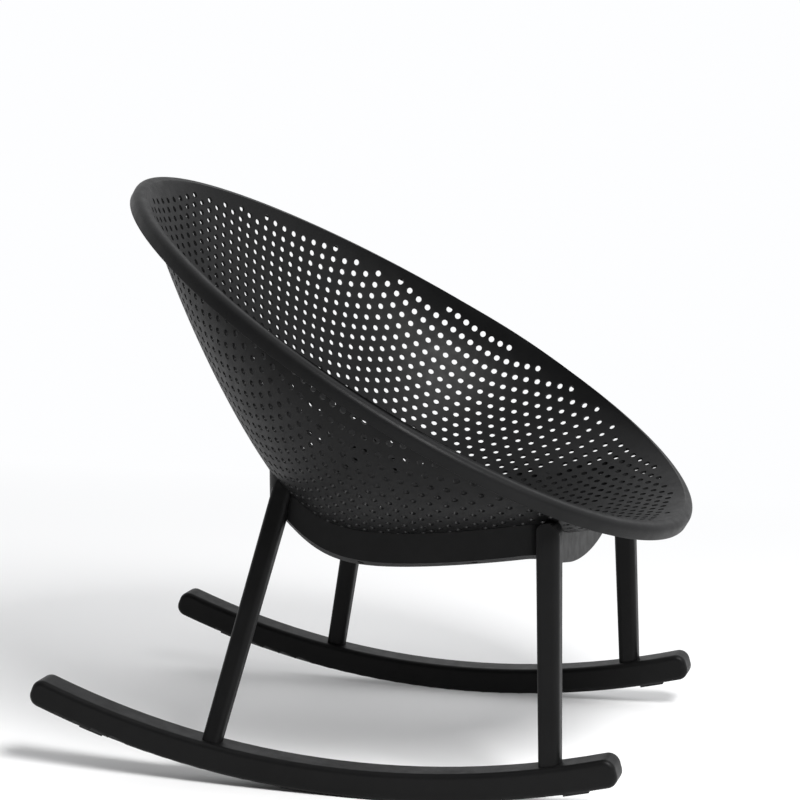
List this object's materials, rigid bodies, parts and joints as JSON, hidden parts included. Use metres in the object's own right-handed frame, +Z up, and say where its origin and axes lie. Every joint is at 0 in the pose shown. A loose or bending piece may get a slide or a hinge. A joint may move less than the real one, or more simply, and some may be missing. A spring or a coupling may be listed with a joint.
{
  "type": "rocking chair",
  "caption": "Moulded plastic rocking chair: an oval perforated bowl seat with a rolled lip, on a curved cradle with tapered legs and two rockers.",
  "frame": {"origin": "on the floor, in the plane of symmetry, halfway between the rockers' rear ends and the front of the bowl's lip", "axes": "+X to the front of the chair, +Y to the sitter's left, +Z up"},
  "size_m": [0.8433, 0.7656, 0.7842],
  "materials": {
    "shell_plastic": "fine moulded grain, satin black",
    "frame_plastic": "fine moulded grain, matt black",
    "stop_rubber": "matt rubber",
    "fastener_steel": "zinc-plated steel",
    "insert_brass": "turned brass"
  },
  "bodies": {
    "root": {"seat_shell": "shell_plastic", "side_rail_left": "frame_plastic", "side_rail_right": "frame_plastic", "front_rail": "frame_plastic", "rear_rail": "frame_plastic", "front_leg_left": "frame_plastic", "front_leg_right": "frame_plastic", "rear_leg_left": "frame_plastic", "rear_leg_right": "frame_plastic", "rocker_left": "frame_plastic", "rocker_right": "frame_plastic", "front_stop_left": "stop_rubber", "front_stop_right": "stop_rubber", "rear_stop_left": "stop_rubber", "rear_stop_right": "stop_rubber", "shell_screws": "fastener_steel", "rail_screws": "fastener_steel", "leg_bolts": "fastener_steel", "leg_washers": "fastener_steel", "leg_inserts": "insert_brass", "foot_bolts": "fastener_steel", "foot_washers": "fastener_steel", "foot_inserts": "insert_brass"}
  },
  "joints": []
}
